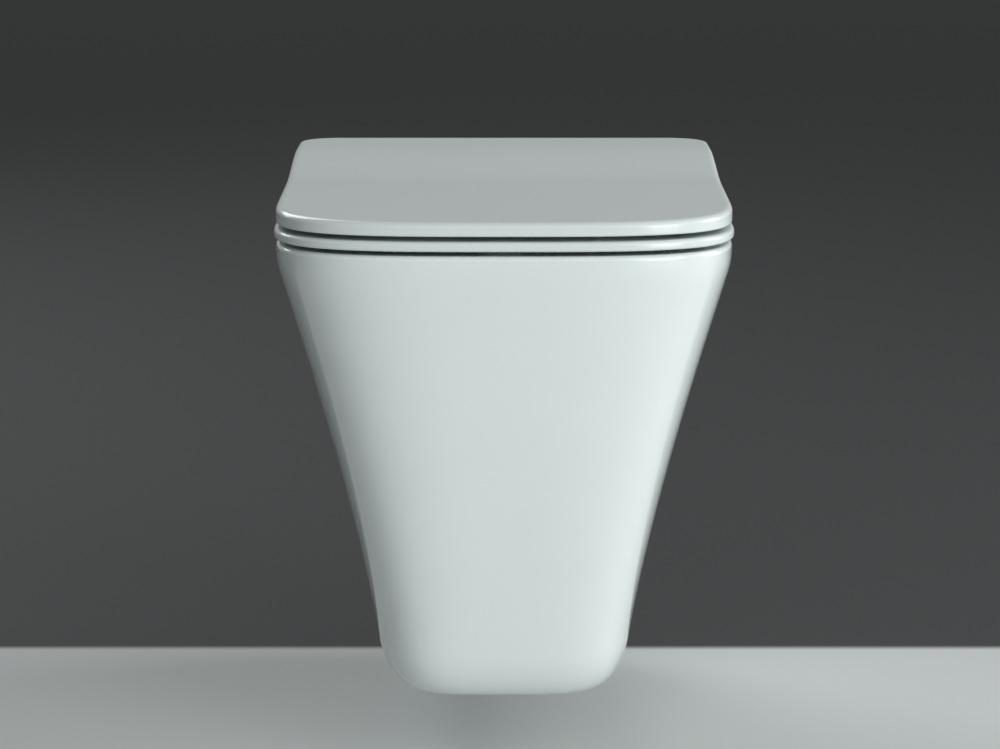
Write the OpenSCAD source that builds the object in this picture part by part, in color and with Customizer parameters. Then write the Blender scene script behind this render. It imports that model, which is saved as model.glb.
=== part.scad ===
// Wall hung toilet: a shrouded vitreous china pan with its bowl and trap, a
// flat duroplast seat and lid on damped hinges, and the hidden kit that holds
// the pan to the wall. X runs across the pan, the wall is the plane y = 0, the
// pan reaches out along -Y, and z = 0 is the height of the two wall studs.

/* [Pan outside] */
// Width of the rim, side to side
pan_w = 353; // [335:1:370]
// Reach of the rim from the wall
pan_l = 515; // [490:1:560]
// Height of the pan, underside to rim
pan_h = 360; // [345:1:380]
// Width near the underside, before its edge rounds
foot_w = 196; // [184:1:210]
// Reach of the underside, before its edge rounds
foot_l = 442; // [425:1:455]
// Rim top above the wall studs
rim_z = 85; // [80:1:90]
// Height of the upright band under the rim
band_h = 15; // [10:1:18]
// Softness of the bend from that band into the taper
band_soft = 3; // [2:0.5:5]
// Depth of the rounded nose of the rim's outline
rim_nose = 130; // [110:1:150]
// Depth of the rounded nose of the underside's outline
foot_nose = 170; // [150:1:180]
// Squareness of the rim's nose, 2 is an ellipse
rim_square = 3.4; // [2.8:0.1:4]
// Squareness of the underside's nose
foot_square = 4.3; // [3.4:0.1:5]
// Radius of the rim's outer edge
rim_edge_r = 4; // [2:0.5:6]
// Sideways reach of the underside's rounded edge
foot_round = 16; // [10:1:22]
// Height of the underside's rounded edge
foot_rise = 36; // [28:1:42]

/* [China] */
// Thickness of the outer skirt
skirt_t = 12; // [10:0.5:14]
// Width of the bowl's flange in the deck, from the bowl's edge
flange_w = 15; // [13:0.5:18]
// Thickness of the deck and the rim
deck_t = 14; // [12:0.5:16]
// Thickness of the pan's floor
floor_t = 12; // [10:0.5:14]
// Thickness of the bowl's wall
bowl_t = 11; // [9:0.5:12]
// Thickness of the upper wall that lies on the room's wall
back_t = 14; // [12:0.5:16]
// Lower edge of that upper wall
back_z = -30; // [-34:1:-26]

/* [Bowl and trap] */
// Width of the bowl's opening
bowl_w = 268; // [250:1:276]
// Front edge of the bowl's opening, from the wall
bowl_front = 470; // [460:1:476]
// Rear edge of the bowl's opening, from the wall
bowl_back = 176; // [170:1:186]
// Bore of the trap's passage
trap_d = 78; // [74:1:80]
// Radius of the trap's bends
trap_bend = 58; // [56:1:60]
// Height of the water over the wall studs
water_z = -118; // [-121:1:-115]
// Level where the bowl ends in the passage
throat_z = -150; // [-152:1:-148]
// Centre of the outlet below the wall studs
outlet_drop = 100; // [98:1:102]
// Outside diameter of the outlet spigot
outlet_d = 102; // [100:1:104]
// Bore of the outlet spigot
outlet_bore = 86; // [84:1:88]
// Length of the outlet spigot
outlet_l = 45; // [42:1:48]
// Height of the flush inlet over the wall studs
inlet_z = 35; // [33:1:36]
// Bore of the flush inlet socket
inlet_d = 55; // [53:1:57]
// Depth of the flush inlet socket
inlet_l = 44; // [40:1:50]
// Bore of the channel from the socket to the bowl
channel_d = 40; // [34:1:44]

/* [Wall fixing] */
// Distance between the two wall studs
stud_pitch = 180; // [176:1:184]
// Hole in a clamp block for a stud
stud_hole = 13; // [12.6:0.1:13.4]
// Holes through the pan's upper wall
stud_port = 20; // [19:0.5:22]
// Width and height of a clamp block
block_w = 36; // [32:1:40]
// Length of a clamp block
block_l = 50; // [40:1:54]
// Distance of the side screws from the wall
side_screw_y = 40; // [36:1:44]
// Diameter of the side screws
side_screw_d = 8; // [6:0.5:9]
// Diameter of the caps over the side screws
side_cap_d = 18; // [16:0.5:20]

/* [Seat and lid] */
// Overhang of the seat past the rim at each side
seat_over_side = 1; // [0:0.5:3]
// Overhang of the seat past the rim in front
seat_over_front = 3; // [1:0.5:6]
// Thickness of the seat
seat_t = 7.5; // [7:0.1:8.5]
// Gap between rim and seat, the height of the seat's bumpers
seat_gap = 3.7; // [3:0.1:4]
// Width of the seat's opening
hole_w = 214; // [200:1:224]
// Front edge of the seat's opening, from the wall
hole_front = 440; // [430:1:448]
// Rear edge of the seat's opening, from the wall
hole_back = 172; // [166:1:180]
// Distance of the lid's sides inside the seat's
lid_in_side = 1.5; // [0.5:0.5:3]
// Distance of the lid's front inside the seat's
lid_in_front = 1; // [0.5:0.5:3]
// Gap between seat and lid
lid_gap = 3.8; // [3.2:0.1:4.4]
// Height of the lid's front edge
lid_edge = 10.5; // [9.5:0.1:11.5]
// Rise of the lid's top from its front edge to its ramp
lid_rise = 5; // [3:0.5:6]
// Rise of the ramp to the flat over the hinges
lid_ramp = 12.5; // [11:0.5:13.5]
// Thickness of the lid's shell
lid_t = 5; // [4:0.5:5]
// Width of the lid's turned down edge
lid_lip = 8; // [6:0.5:9]

/* [Hinges] */
// Distance between the two hinges
hinge_pitch = 155; // [150:1:160]
// Distance of the hinge axis from the wall
hinge_y = 55; // [54:0.5:57]
// Height of the hinge axis over the rim
hinge_h = 26; // [25.5:0.1:27]
// Diameter of the hinge spindles
spindle_d = 8; // [7:0.1:8.5]
// Diameter of the barrels and of the damper bodies
barrel_d = 19; // [18:0.1:19.5]
// Diameter of the cover discs on the deck
cover_d = 50; // [46:1:52]
// Diameter of the posts that carry the dampers
post_d = 16; // [15:0.5:17]
// Length of a damper body
damper_l = 36; // [34:1:38]
// Width of the seat's and the lid's hinge lugs
lug_w = 18; // [16:1:20]
// Holes through the deck for the hinge bolts
fix_hole = 14; // [12:0.5:15]
// Diameter of the hinge bolts
hinge_bolt_d = 6; // [5:0.5:6]

/* [Fits] */
// Radial clearance of a turning spindle
run_fit = 0.05; // [0.02:0.01:0.08]
// Radial clearance of a part that is pushed in
snug_fit = 0.02; // [0.01:0.01:0.05]
// Gap between parts that must not rub
free_gap = 0.3; // [0.2:0.05:0.5]

/* [Hidden] */
$fn = 48;

china = [0.93, 0.95, 0.94];
duroplast = [0.90, 0.92, 0.91];
chrome = [0.75, 0.76, 0.78];
steel = [0.62, 0.63, 0.65];
brass = [0.78, 0.65, 0.32];
rubber = [0.16, 0.16, 0.17];
grey_rubber = [0.55, 0.56, 0.57];
plastic = [0.30, 0.31, 0.33];

// Steps of every outline: nose, straight side, rear corner, half the back edge
nose_steps = 10;
side_steps = 4;
corner_steps = 3;
back_steps = 3;
half_points = nose_steps + side_steps + corner_steps + back_steps + 1;

pan_bottom = rim_z - pan_h;
cavity_top = rim_z - deck_t;
over = 1;
seat_w = pan_w + 2 * seat_over_side;
seat_l = pan_l + seat_over_front;
lid_w = seat_w - 2 * lid_in_side;
lid_l = seat_l - lid_in_front;
seat_z = rim_z + seat_gap;
seat_top = seat_z + seat_t;
lid_z = seat_top + lid_gap;
axis_z = rim_z + hinge_h;
hinge_x = hinge_pitch / 2;
trap_r = trap_d / 2;

// Numbers between and outlines
function lerp(a, b, k) = a + (b - a) * k;
function mix(p, q, k) = [for (i = [0:len(p) - 1]) lerp(p[i], q[i], k)];
function ease(u) = u <= 0 ? 0 : u >= 1 ? 1 : u * u * (3 - 2 * u);
function turned(list) = [for (i = [len(list) - 1:-1:0]) list[i]];

// Half an outline, from the middle of the front round to the middle of the
// back: superellipse nose, straight side, round rear corner, straight back.
function half(w, front, back, nose, square, corner) = concat(
    [for (i = [0:nose_steps]) let (a = 90 * i / nose_steps)
        [w * pow(sin(a), 2 / square), front + nose * (1 - pow(cos(a), 2 / square))]],
    [for (i = [1:side_steps]) [w, lerp(front + nose, back - corner, i / side_steps)]],
    [for (i = [1:corner_steps]) let (a = 90 * i / corner_steps)
        [w - corner * (1 - cos(a)), back - corner * (1 - sin(a))]],
    [for (i = [1:back_steps]) [lerp(w - corner, 0, i / back_steps), back]]);

// The same number of points round half a circle
function half_circle(r) = [for (i = [0:half_points - 1])
    let (a = 180 * i / (half_points - 1) - 90) [r * cos(a), r * sin(a)]];

// A whole outline, with its left half mirrored from the right one
function whole(h) = concat(h, [for (i = [len(h) - 2:-1:1]) [-h[i].x, h[i].y]]);

// An outline set level at height z
function level(h, z) = [for (p = whole(h)) [p.x, p.y, z]];

// A closed skin through rings of equal length, listed from below upwards, with
// a flat end on each
module skin(rings) {
    n = len(rings[0]);
    last = (len(rings) - 1) * n;
    polyhedron(
        points = [for (r = rings) each r],
        faces = concat(
            [[for (j = [0:n - 1]) j]],
            ring_faces(n, len(rings) - 1),
            [[for (j = [n - 1:-1:0]) last + j]]),
        convexity = 12);
}

function ring_faces(n, bands) = [for (k = [0:bands - 1], j = [0:n - 1])
    let (a = k * n + j, b = k * n + (j + 1) % n) each [[a, a + n, b + n], [a, b + n, b]]];

// A skin whose first and last rings are closed by a strip across the middle
module strip_skin(rings) {
    n = len(rings[0]);
    m = n / 2;
    last = (len(rings) - 1) * n;
    turn = m - back_steps - 1;
    across = [for (j = [1:turn - 1]) each [[j, j + 1, n - j - 1], [j, n - j - 1, n - j]]];
    back = [for (j = [turn + 1:n - turn - 1]) [turn, j, j + 1]];
    shut = concat([[0, 1, n - 1]], across, back);
    polyhedron(
        points = [for (r = rings) each r],
        faces = concat(
            shut,
            ring_faces(n, len(rings) - 1),
            [for (f = shut) [last + f[2], last + f[1], last + f[0]]]),
        convexity = 8);
}

// A skin that closes on itself, ring after ring
module hoop_skin(rings) {
    n = len(rings[0]);
    count = n * len(rings);
    polyhedron(
        points = [for (r = rings) each r],
        faces = [for (f = ring_faces(n, len(rings))) [for (i = f) i % count]],
        convexity = 8);
}

// Outside of the pan at height z: upright at the rim, then a soft bend and a
// taper that steepens towards the foot
function soft_drop(z) = let (drop = rim_z - band_h - z) (drop + norm([drop, 2 * band_soft])) / 2;
function taper(z) = (soft_drop(z) - soft_drop(pan_bottom)) / (soft_drop(rim_z) - soft_drop(pan_bottom));
side_bend = 1.33;
front_bend = 0.9;
function pan_half_w(z) = lerp(foot_w, pan_w, pow(taper(z), side_bend)) / 2;
function pan_reach(z) = lerp(foot_l, pan_l, pow(taper(z), front_bend));
function pan_half(z, inset, back, corner) = half(
    pan_half_w(z) - inset, inset - pan_reach(z), back,
    lerp(foot_nose, rim_nose, taper(z)) - inset,
    lerp(foot_square, rim_square, taper(z)), corner);

wall_corner = 3;
body_levels = 8;
bend_z = min(rim_z - band_h - 2 * band_soft, cavity_top - 4);
function outside(z, inset) = level(pan_half(z, inset, 0, wall_corner), z);
skirt_rings = concat(
    [for (a = [0:18:90]) outside(pan_bottom + foot_rise * (1 - cos(a)), foot_round * (1 - sin(a)))],
    [for (i = [1:body_levels]) outside(lerp(pan_bottom + foot_rise, bend_z, i / body_levels), 0)],
    [outside(cavity_top, 0)]);
deck_rings = concat(
    [for (k = [0, 0.25]) outside(lerp(cavity_top, rim_z - rim_edge_r, k), 0)],
    [for (a = [0:30:90]) outside(rim_z - rim_edge_r * (1 - sin(a)), rim_edge_r * (1 - cos(a)))]);

// Trap: down out of the bowl, round under the dip, up over the weir and down
// to the outlet. A move is [length, turn] and a place [y, z, heading], where
// heading 0 runs down and 90 runs to the wall.
rise_heading = 155;
crest_z = water_z + trap_r;
low_z = throat_z - trap_bend * sin(rise_heading);
rise_l = (crest_z - low_z - trap_bend * (1 - sin(rise_heading))) / -cos(rise_heading);
fall_heading = asin(1 - (crest_z + outlet_drop) / (2 * trap_bend));
trap_span = trap_bend * (1 - 2 * cos(rise_heading) + 2 * cos(fall_heading))
    + rise_l * sin(rise_heading);
throat_y = outlet_l + trap_span;

function bend(turn, steps) = [for (i = [1:steps])
    [2 * trap_bend * sin(abs(turn) / steps / 2), turn / steps]];
trap_moves = concat(
    bend(rise_heading, 8), [[rise_l, 0]], bend(90 - rise_heading, 4),
    bend(fall_heading - 90, 2), bend(90 - fall_heading, 2));
function moved(at, m) = let (h = at[2] + m[1] / 2)
    [at[0] + m[0] * sin(h), at[1] - m[0] * cos(h), at[2] + m[1]];
function walk(at, i = 0) = i == len(trap_moves) ? [at]
    : concat([at], walk(moved(at, trap_moves[i]), i + 1));
trap_path = walk([-throat_y, throat_z, 0]);

function trap_ring(at, r) = [for (p = whole(half_circle(r)))
    [p.x, at[0] + p.y * cos(at[2]), at[1] + p.y * sin(at[2])]];
function trap_rings(r) = [for (i = [1:len(trap_path) - 1]) trap_ring(trap_path[i], r)];

// Bowl at depth u, from 0 at its edge to 1 at its throat, grown outwards by t
lip_r = 6;
bowl_nose = 130;
bowl_square = 2.8;
bowl_corner = 78;
bowl_top = rim_z - lip_r;
function bowl_z(u) = lerp(bowl_top, throat_z, u);
function bowl_half(u, t) = mix(
    half(bowl_w / 2 + t, -bowl_front - t, -bowl_back + t, bowl_nose, bowl_square, bowl_corner),
    [for (p = half_circle(trap_r + t)) [p.x, p.y - throat_y]],
    ease(u));

bowl_levels = 11;
inside_rings = concat(
    [level(bowl_half(0, lip_r), rim_z + over)],
    [for (a = [0:30:60]) level(bowl_half(0, lip_r * (1 - sin(a))), rim_z - lip_r * (1 - cos(a)))],
    [for (i = [0:bowl_levels]) level(bowl_half(i / bowl_levels, 0), bowl_z(i / bowl_levels))],
    trap_rings(trap_r));

// Outside of the bowl and the trap, with the flange that lies in the deck
flange_slope = 5;
wall_sag = 3;
module bowl_outside(above) skin(turned(concat(
    [for (z = [rim_z + above, cavity_top]) level(bowl_half(0, flange_w), z)],
    [for (i = [0:bowl_levels]) let (u = i / bowl_levels) level(bowl_half(u, bowl_t),
        min(bowl_z(u), cavity_top - flange_slope) - wall_sag * ease(u) * (1 - ease(u)))],
    trap_rings(trap_r + bowl_t))));

// Hollow inside the skirt, from the floor up to the deck and out through the
// plane of the room's wall. Its corners lie past that plane.
open_y = 5;
inner_corner = 4;
inner_round = 16;
top_slope = [5, 7];
floor_z = pan_bottom + floor_t;
inner_levels = 6;
function inside(z, inset, at) = level(pan_half(z, skirt_t + inset, open_y, inner_corner), at);
hollow_rings = concat(
    [for (k = [[0, 1], [0.5, 0.35]]) let (z = floor_z + k[0] * inner_round) inside(z, k[1] * inner_round, z)],
    [for (i = [0:inner_levels])
        let (z = lerp(pan_bottom + foot_rise, cavity_top - top_slope[1], i / inner_levels))
        inside(z, 0, z)],
    [for (z = [cavity_top, cavity_top + over]) inside(cavity_top, top_slope[0], z)]);

// A cylinder along the wall's normal, from y0 to y1, and one along X
module along_y(d, y0, y1, x = 0, z = 0) {
    translate([x, y0, z]) rotate([-90, 0, 0]) cylinder(d = d, h = y1 - y0);
}
module along_x(d, x0, x1, y, z) {
    translate([x0, y, z]) rotate([0, 90, 0]) cylinder(d = d, h = x1 - x0);
}
module both_sides() {
    children();
    mirror([1, 0, 0]) children();
}

// Side screws run square to the skirt and meet the clamp blocks at stud height.
// cap_drop is how far their caps come to lie below the studs.
cap_drop = 12;
cap_depth = 3;
block_side = stud_pitch / 2 + block_w / 2;
side_tilt = atan((pan_half_w(0) - pan_half_w(-2 * cap_drop)) / (2 * cap_drop));
screw_run = (pan_half_w(-cap_drop) - block_side) / cos(side_tilt);
cap_seat = screw_run - cap_depth;
module side_frame() {
    translate([block_side, -side_screw_y, 0]) rotate([0, 90 + side_tilt, 0]) children();
}

// The casting, in the four pieces that are luted together before firing. First
// the shroud: skirt and floor in one.
module pan() color(china) difference() {
    skin(skirt_rings);
    skin(hollow_rings);
    both_sides() side_frame() {
        cylinder(d = side_screw_d + 2, h = screw_run + side_cap_d);
        translate([0, 0, cap_seat]) cylinder(d = side_cap_d, h = side_cap_d);
    }
}

// Deck and rim, round the bowl's flange
module deck() color(china) difference() {
    skin(deck_rings);
    bowl_outside(over);
    both_sides() translate([hinge_x, -hinge_y, cavity_top - over])
        cylinder(d = fix_hole, h = deck_t + 2 * over);
}

// Upper wall between the sides of the skirt, with the horn that leads the flush
// from its socket to the bowl
horn_wall = 8;
horn_front = bowl_back + 24;
wall_chamfer = 9;
module back_wall() color(china) difference() {
    union() {
        intersection() {
            skin(hollow_rings);
            rotate([90, 0, 90]) translate([0, 0, -pan_w / 2]) linear_extrude(pan_w)
                polygon([[0, back_z - wall_chamfer], [0, cavity_top], [-back_t, cavity_top],
                    [-back_t, back_z]]);
        }
        along_y(inlet_d + 2 * horn_wall, -horn_front, -back_t + 2, 0, inlet_z);
    }
    bowl_outside(over);
    along_y(inlet_d, -inlet_l, over, 0, inlet_z);
    along_y(channel_d, -horn_front - over, -inlet_l + over, 0, inlet_z);
    both_sides() along_y(stud_port, -back_t - over, over, stud_pitch / 2);
}

// Bowl, trap and outlet
module bowl() color(china) difference() {
    union() {
        bowl_outside(0);
        along_y(outlet_d, -outlet_l - 3, 0, 0, -outlet_drop);
    }
    skin(turned(inside_rings));
    along_y(outlet_bore, -outlet_l - 6, over, 0, -outlet_drop);
    along_y(channel_d, -horn_front - 2, -inlet_l + over, 0, inlet_z);
}

// Seat: one flat moulded ring, rounded inside and out
seat_rear = hinge_y + 29;
seat_corner = 30;
hole_nose = 118;
hole_square = 2.6;
hole_corner = 80;
function seat_half(d) = half(seat_w / 2 - d, d - seat_l, -seat_rear - d, rim_nose - d, rim_square,
    seat_corner - d);
function hole_half(d) = half(hole_w / 2 + d, -hole_front - d, d - hole_back, hole_nose, hole_square,
    hole_corner);
// An edge that runs in by reach over a height of drop, as [inset, drop] pairs
function round_edge(reach, drop, steps) = [for (i = [0:steps]) let (a = 90 * i / steps)
    [reach * (1 - sin(a)), drop * (1 - cos(a))]];
seat_rings = concat(
    [for (e = round_edge(2, 2, 2)) level(seat_half(e[0]), seat_z + e[1])],
    [for (e = turned(round_edge(3.4, 3, 3))) level(seat_half(e[0]), seat_top - e[1])],
    [for (e = round_edge(6, 4, 3)) level(hole_half(e[0]), seat_top - e[1])],
    [for (e = turned(round_edge(2, 2, 2))) level(hole_half(e[0]), seat_z + e[1])]);

// A hinge lug: a barrel on the axis and the web that joins it to its panel
lug_in = hinge_x - damper_l / 2 - 1;
lug_out = hinge_x + damper_l / 2 + 1;
bush_d = spindle_d + 4;
module lug(x0, web) {
    difference() {
        union() {
            along_x(barrel_d, x0, x0 + lug_w, -hinge_y, axis_z);
            translate([x0 + lug_w, 0, 0]) rotate([90, 0, -90]) mirror([1, 0, 0])
                linear_extrude(lug_w) polygon(web);
        }
        along_x(bush_d + 2 * snug_fit, x0 - 1, x0 + lug_w + 1, -hinge_y, axis_z);
    }
}
barrel_r = barrel_d / 2;
web_l = 34;
web_sink = 1.5;
seat_web = [[-hinge_y - barrel_r * 0.64, axis_z + barrel_r * 0.76],
    [-seat_rear - web_l, seat_top - web_sink], [-seat_rear - web_l, seat_z + web_sink],
    [-seat_rear - 2, seat_z + web_sink],
    [-hinge_y - barrel_r * 0.86, axis_z - barrel_r * 0.5]];
module seat_ring() color(duroplast) {
    hoop_skin(seat_rings);
    both_sides() lug(lug_in - lug_w, seat_web);
}

// Lid: a thin shell with a turned down edge, higher over the hinges
lid_back = hinge_y + 16;
ramp_front = 290;
ramp_back = 150;
lid_front_top = lid_z + lid_edge;
function lid_top(y) = lid_front_top
    + lid_rise * (min(y, -ramp_back) + lid_l) / (lid_l - ramp_front)
    + (lid_ramp - lid_rise * (ramp_front - ramp_back) / (lid_l - ramp_front))
    * ease((y + ramp_front) / (ramp_front - ramp_back));
lid_corner = 30;
function lid_half(d) = let (k = 1 - 2 * d / lid_w)
    half(lid_w / 2 - d, d - lid_l, -lid_back - d, rim_nose * k, rim_square, lid_corner * k);
function on_lid(d, drop) = [for (p = whole(lid_half(d))) [p.x, p.y, lid_top(p.y) - drop]];
lid_rings = concat(
    [for (k = [0.86, 0.63, 0.4, 0.2]) on_lid(k * lid_w / 2, lid_t)],
    [on_lid(lid_lip + 3, lid_t), level(lid_half(lid_lip + 1), lid_z + 0.8),
        level(lid_half(lid_lip - 0.5), lid_z)],
    [for (e = round_edge(1.5, 1.6, 2)) level(lid_half(e[0]), lid_z + e[1])],
    [for (e = turned(round_edge(5, 4, 4))) on_lid(e[0], e[1])],
    [for (k = [0.2, 0.4, 0.63, 0.86]) on_lid(k * lid_w / 2, 0)]);
lid_under = lid_top(-lid_back) - lid_t;
lid_web = [[-hinge_y, axis_z + barrel_r], [-lid_back - 3, lid_under + 2],
    [-lid_back - 20, lid_under + 2], [-lid_back - 20, axis_z + 1],
    [-hinge_y - barrel_r * 0.5, axis_z - barrel_r * 0.86]];
module lid() color(duroplast) {
    difference() {
        strip_skin(lid_rings);
        both_sides() translate([lug_in - lug_w - 2, -lid_back - lid_lip - 6, lid_z - over])
            cube([damper_l + 2 * lug_w + 6, 2 * lid_lip + 4, lid_under - lid_z]);
    }
    both_sides() lug(lug_out, lid_web);
}

// Bumpers: soft pads between rim and seat, and between seat and lid
bumper_w = 16;
bumper_run = 9;
bumper_x = (pan_w + bowl_w) / 4 - 5;
module seat_bumpers() color(grey_rubber) both_sides() for (y = [bowl_back - 46, bowl_front - 55])
    translate([bumper_x, -y, rim_z]) hull() {
        cylinder(d = bumper_w, h = seat_gap);
        translate([0, -bumper_run, 0]) cylinder(d = bumper_w, h = seat_gap);
    }
lid_bumper_w = 14;
lid_bumper_y = bowl_front - 70;
lid_bumper_top = lid_top(-lid_bumper_y - lid_bumper_w / 2 - 1) - lid_t - snug_fit;
module lid_bumpers() color(grey_rubber) both_sides()
    translate([bumper_x - 12, -lid_bumper_y, seat_top])
        cylinder(d1 = lid_bumper_w - 3, d2 = lid_bumper_w, h = lid_bumper_top - seat_top);

// Hinge hardware on the deck
gasket_t = 0.5;
base_t = 2.5;
cover_t = 4.2;
boss_d = post_d + 7;
post_top = axis_z - barrel_r - 1.5;
base_z = rim_z + gasket_t;
ring_d = 1.9;
ring_drop = 4;
head_d = hinge_bolt_d + 4;
seat_under_head = 3;
module hinge_gasket() translate([hinge_x, -hinge_y, rim_z]) difference() {
    cylinder(d = cover_d - 7, h = gasket_t);
    translate([0, 0, -1]) cylinder(d = fix_hole, h = 2);
}
module hinge_base() translate([hinge_x, -hinge_y, base_z]) difference() {
    union() {
        cylinder(d = cover_d - 6, h = base_t);
        cylinder(d = post_d, h = post_top - base_z);
    }
    translate([0, 0, -over]) cylinder(d = hinge_bolt_d + 2 * free_gap, h = hinge_h);
    translate([0, 0, base_t + seat_under_head]) cylinder(d = head_d + 2 * free_gap, h = hinge_h);
    translate([0, 0, post_top - base_z - ring_drop]) rotate_extrude()
        translate([post_d / 2 - ring_d / 2, 0]) circle(d = ring_d + 0.1);
}
cover_in = boss_d / 2 + free_gap;
cover_out = cover_d / 2;
cover_wall = 2.8;
module hinge_cover() translate([hinge_x, -hinge_y, rim_z]) rotate_extrude() polygon([
    [cover_in, cover_t], [cover_in, cover_t - 1], [cover_out - cover_wall, cover_t - 1],
    [cover_out - cover_wall, 0.1], [cover_out, 0.1], [cover_out, cover_t - 2],
    [cover_out - 0.6, cover_t - 0.8], [cover_out - 2, cover_t]]);
module damper() {
    boss_z = base_z + base_t + 0.1;
    difference() {
        union() {
            along_x(barrel_d + 1, hinge_x - damper_l / 2, hinge_x + damper_l / 2, -hinge_y, axis_z);
            translate([hinge_x, -hinge_y, boss_z]) cylinder(d = boss_d, h = axis_z - boss_z - 4);
        }
        along_x(spindle_d + 2 * run_fit, lug_in - lug_w, lug_out + lug_w, -hinge_y, axis_z);
        translate([hinge_x, -hinge_y, boss_z - 1])
            cylinder(d = post_d + 2 * snug_fit, h = post_top - boss_z + 1.1);
        for (s = [-1, 1]) along_x_groove(hinge_x + s * (damper_l / 2 - 5));
    }
}
module along_x_groove(x) {
    translate([x, -hinge_y, axis_z]) rotate([0, 90, 0]) rotate_extrude()
        translate([(barrel_d + 1) / 2 + 0.2, 0]) circle(r = 0.8);
}
spindle_inset = 2;
module spindle() along_x(spindle_d, lug_in - lug_w + spindle_inset,
    lug_out + lug_w - spindle_inset, -hinge_y, axis_z);
// Bush with a bore d, from x0 outwards
module bush(x0, d) difference() {
    along_x(bush_d, x0, x0 + lug_w, -hinge_y, axis_z);
    along_x(d, x0 - 1, x0 + lug_w + 1, -hinge_y, axis_z);
}
module left() mirror([1, 0, 0]) children();
tight = spindle_d + 2 * snug_fit;
loose = spindle_d + 2 * run_fit;
module hinge_base_left() color(steel) left() hinge_base();
module hinge_base_right() color(steel) hinge_base();
module hinge_gaskets() color(rubber) both_sides() hinge_gasket();
module hinge_cover_left() color(chrome) left() hinge_cover();
module hinge_cover_right() color(chrome) hinge_cover();
module lid_damper() color(chrome) left() damper();
module seat_damper() color(chrome) damper();
module lid_spindle() color(steel) left() spindle();
module seat_spindle() color(steel) spindle();
module seat_bushes() color(plastic) {
    left() bush(lug_in - lug_w, loose);
    bush(lug_in - lug_w, tight);
}
module lid_bushes() color(plastic) {
    left() bush(lug_out, tight);
    bush(lug_out, loose);
}
module post_o_rings() color(rubber) both_sides()
    translate([hinge_x, -hinge_y, post_top - ring_drop]) rotate_extrude()
        translate([post_d / 2 - ring_d / 2, 0]) circle(d = ring_d, $fn = 24);

// Deck fixing: bolt, swelling rubber plug and brass nut
head_z = base_z + base_t + seat_under_head;
bolt_end = cavity_top - 30;
socket_d = 5.8;
module hinge_bolts() color(steel) both_sides() translate([hinge_x, -hinge_y, 0]) {
    translate([0, 0, bolt_end]) cylinder(d = hinge_bolt_d, h = head_z - bolt_end);
    difference() {
        translate([0, 0, head_z]) cylinder(d = head_d, h = hinge_bolt_d - 1);
        translate([0, 0, head_z + 2]) cylinder(d = socket_d, h = head_d, $fn = 6);
    }
}
plug_r = fix_hole / 2 - free_gap;
plug_in = hinge_bolt_d / 2 + run_fit;
plug_low = bolt_end + 8;
plug_high = cavity_top - free_gap;
module hinge_plugs() color(rubber) both_sides() translate([hinge_x, -hinge_y, 0])
    rotate_extrude() polygon([
        [plug_in, plug_low], [plug_r + 1, plug_low], [plug_r + 3.5, plug_low + 6],
        [plug_r + 3.5, plug_high - 5], [plug_r + 2, plug_high], [plug_r, plug_high],
        [plug_r, rim_z - 0.5], [plug_in, rim_z - 0.5]]);
hinge_nut_h = 4.5;
module hinge_nuts() color(brass) both_sides() translate([hinge_x, -hinge_y, bolt_end + 2])
    difference() {
        union() {
            cylinder(r = plug_r - 0.2, h = hinge_nut_h, $fn = 6);
            translate([0, 0, hinge_nut_h]) cylinder(r = plug_r, h = 1.5);
        }
        translate([0, 0, -over]) cylinder(d = hinge_bolt_d + 2 * snug_fit, h = 2 * hinge_nut_h);
    }

// Clamp blocks that the wall studs pass through
screw_bite = 7.5;
block_front = -back_t - free_gap - block_l;
module clamp_block() difference() {
    union() {
        translate([stud_pitch / 2 - block_w / 2, block_front, -block_w / 2])
            cube([block_w, block_l, block_w]);
        along_y(stud_port - 2 * free_gap, block_front + 1, 0, stud_pitch / 2);
    }
    along_y(stud_hole, block_front - over, over, stud_pitch / 2);
    side_frame() translate([0, 0, -screw_bite - 0.5])
        cylinder(d = side_screw_d + 2 * snug_fit, h = block_w);
}
module clamp_block_left() color(plastic) left() clamp_block();
module clamp_block_right() color(plastic) clamp_block();
washer_t = 2.5;
washer_d = 24;
nut_d = 22;
nut_h = 10;
module stud_washers() color(steel) both_sides() difference() {
    along_y(washer_d, block_front - washer_t, block_front, stud_pitch / 2);
    along_y(stud_hole, block_front - washer_t - over, block_front + over, stud_pitch / 2);
}
module stud_nuts() color(steel) both_sides() difference() {
    translate([stud_pitch / 2, block_front - washer_t, 0]) rotate([90, 0, 0])
        cylinder(d = nut_d, h = nut_h, $fn = 6);
    along_y(stud_hole - 1, block_front - washer_t - nut_h - over, block_front, stud_pitch / 2);
}
side_head_h = 5;
module side_screws() color(steel) both_sides() side_frame() {
    translate([0, 0, -screw_bite]) cylinder(d = side_screw_d, h = cap_seat + screw_bite - side_head_h);
    difference() {
        translate([0, 0, cap_seat - side_head_h - over])
            cylinder(d = side_screw_d + 1.4, h = side_head_h);
        translate([0, 0, cap_seat - 4]) cylinder(d = socket_d, h = side_head_h, $fn = 6);
    }
}
module side_caps() color(china) both_sides() side_frame() translate([0, 0, cap_seat])
    rotate_extrude() polygon([[0, 0], [side_cap_d / 2 - free_gap, 0],
        [side_cap_d / 2 - free_gap, cap_depth - 0.6], [side_cap_d / 2 - 1.3, cap_depth + 0.2],
        [0, cap_depth + 0.8]]);

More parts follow.
